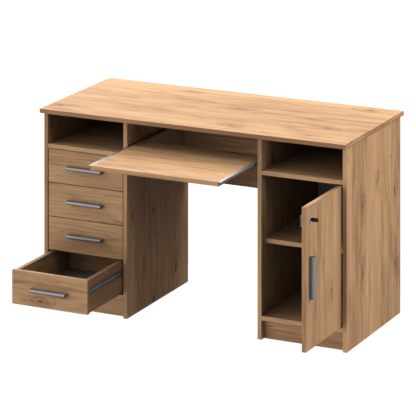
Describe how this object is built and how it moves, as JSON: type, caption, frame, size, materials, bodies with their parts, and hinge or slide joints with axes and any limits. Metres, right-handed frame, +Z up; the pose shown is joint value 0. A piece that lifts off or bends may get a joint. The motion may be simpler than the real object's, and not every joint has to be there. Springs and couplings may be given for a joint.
{
  "type": "computer desk with keyboard tray",
  "caption": "Wood-finish computer desk: two pedestals, a stack of drawers, a lockable cupboard, open compartments and a pull-out keyboard tray under the worktop.",
  "frame": {"origin": "middle of the footprint of the desk as stored, with its lowest drawer, tray and door open, on the floor", "axes": "+X to the right as seen by the person at the desk, along its width; +Y to the back, so the drawers and the tray pull out towards -Y; +Z up"},
  "size_m": [1.244, 0.844, 0.746],
  "materials": {
    "oak_board": "matt laminated board with an oak print and matching banded edges",
    "grey_fibreboard": "thin fibreboard with a dark grey painted face",
    "zinc_plated_steel": "pressed sheet steel, zinc plated",
    "nickel_steel": "nickel plated steel",
    "satin_aluminium": "satin",
    "brown_plastic": "fine matt",
    "black_plastic": "smooth moulded"
  },
  "bodies": {
    "desk": {"worktop": "oak_board", "side_panel_left": "oak_board", "inner_panel_left": "oak_board", "inner_panel_right": "oak_board", "side_panel_right": "oak_board", "shelf_left": "oak_board", "shelf_right": "oak_board", "bottom_panel_left": "oak_board", "bottom_panel_right": "oak_board", "plinth_left": "oak_board", "plinth_right": "oak_board", "back_board_left": "grey_fibreboard", "back_board_right": "grey_fibreboard", "back_rail": "oak_board", "cupboard_shelf": "oak_board", "shelf_pins": "zinc_plated_steel", "panel_screws": "zinc_plated_steel", "screw_caps": "brown_plastic", "strike_plate": "nickel_steel", "drawer_runners": "zinc_plated_steel", "tray_runners": "zinc_plated_steel", "hinge_arms": "nickel_steel"},
    "drawer_1": {"drawer_1_front": "oak_board", "drawer_1_sides": "oak_board", "drawer_1_back": "oak_board", "drawer_1_bottom": "grey_fibreboard", "drawer_1_handle": "satin_aluminium", "drawer_1_slides": "zinc_plated_steel"},
    "drawer_1_cages": {"drawer_1_ball_cages": "zinc_plated_steel"},
    "drawer_2": {"drawer_2_front": "oak_board", "drawer_2_sides": "oak_board", "drawer_2_back": "oak_board", "drawer_2_bottom": "grey_fibreboard", "drawer_2_handle": "satin_aluminium", "drawer_2_slides": "zinc_plated_steel"},
    "drawer_2_cages": {"drawer_2_ball_cages": "zinc_plated_steel"},
    "drawer_3": {"drawer_3_front": "oak_board", "drawer_3_sides": "oak_board", "drawer_3_back": "oak_board", "drawer_3_bottom": "grey_fibreboard", "drawer_3_handle": "satin_aluminium", "drawer_3_slides": "zinc_plated_steel"},
    "drawer_3_cages": {"drawer_3_ball_cages": "zinc_plated_steel"},
    "drawer_4": {"drawer_4_front": "oak_board", "drawer_4_sides": "oak_board", "drawer_4_back": "oak_board", "drawer_4_bottom": "grey_fibreboard", "drawer_4_handle": "satin_aluminium", "drawer_4_slides": "zinc_plated_steel"},
    "drawer_4_cages": {"drawer_4_ball_cages": "zinc_plated_steel"},
    "tray": {"keyboard_tray": "oak_board", "tray_slides": "zinc_plated_steel"},
    "tray_cages": {"tray_ball_cages": "zinc_plated_steel"},
    "door": {"door_panel": "oak_board", "door_handle": "satin_aluminium", "hinge_cups": "nickel_steel", "lock_case": "nickel_steel", "lock_cylinder": "nickel_steel"},
    "lock_key": {"lock_key": "black_plastic"},
    "lock_bolt": {"lock_bolt": "nickel_steel"}
  },
  "joints": [
    {"name": "drawer_1_slide", "type": "slide", "parent": "desk", "child": "drawer_1", "axis": [0, -1, 0], "range_m": [0, 0.3]},
    {"name": "drawer_1_cage_slide", "type": "slide", "parent": "desk", "child": "drawer_1_cages", "axis": [0, -1, 0], "range_m": [0, 0.15]},
    {"name": "drawer_2_slide", "type": "slide", "parent": "desk", "child": "drawer_2", "axis": [0, -1, 0], "range_m": [0, 0.3]},
    {"name": "drawer_2_cage_slide", "type": "slide", "parent": "desk", "child": "drawer_2_cages", "axis": [0, -1, 0], "range_m": [0, 0.15]},
    {"name": "drawer_3_slide", "type": "slide", "parent": "desk", "child": "drawer_3", "axis": [0, -1, 0], "range_m": [0, 0.3]},
    {"name": "drawer_3_cage_slide", "type": "slide", "parent": "desk", "child": "drawer_3_cages", "axis": [0, -1, 0], "range_m": [0, 0.15]},
    {"name": "drawer_4_slide", "type": "slide", "parent": "desk", "child": "drawer_4", "axis": [0, -1, 0], "range_m": [-0.275, 0.025]},
    {"name": "drawer_4_cage_slide", "type": "slide", "parent": "desk", "child": "drawer_4_cages", "axis": [0, -1, 0], "range_m": [-0.1375, 0.0125]},
    {"name": "tray_slide", "type": "slide", "parent": "desk", "child": "tray", "axis": [0, -1, 0], "range_m": [-0.305, 0]},
    {"name": "tray_cage_slide", "type": "slide", "parent": "desk", "child": "tray_cages", "axis": [0, -1, 0], "range_m": [-0.1525, 0]},
    {"name": "door_hinge", "type": "hinge", "parent": "desk", "child": "door", "pos_m": [0.5925, -0.111, 0.34], "axis": [0, 0, 1], "range_deg": [-90, 20]},
    {"name": "key_turn", "type": "hinge", "parent": "door", "child": "lock_key", "pos_m": [0.5915, -0.383, 0.541], "axis": [1, 0, 0], "range_deg": [0, 90]},
    {"name": "bolt_slide", "type": "slide", "parent": "door", "child": "lock_bolt", "axis": [0, -1, 0], "range_m": [0, 0.012]}
  ],
  "couplings": [
    {"joint": "drawer_1_cage_slide", "follows": "drawer_1_slide", "ratio": 0.5},
    {"joint": "drawer_2_cage_slide", "follows": "drawer_2_slide", "ratio": 0.5},
    {"joint": "drawer_3_cage_slide", "follows": "drawer_3_slide", "ratio": 0.5},
    {"joint": "drawer_4_cage_slide", "follows": "drawer_4_slide", "ratio": 0.5},
    {"joint": "tray_cage_slide", "follows": "tray_slide", "ratio": 0.5},
    {"joint": "key_turn", "follows": "bolt_slide", "rad_per_m": 130.9}
  ]
}
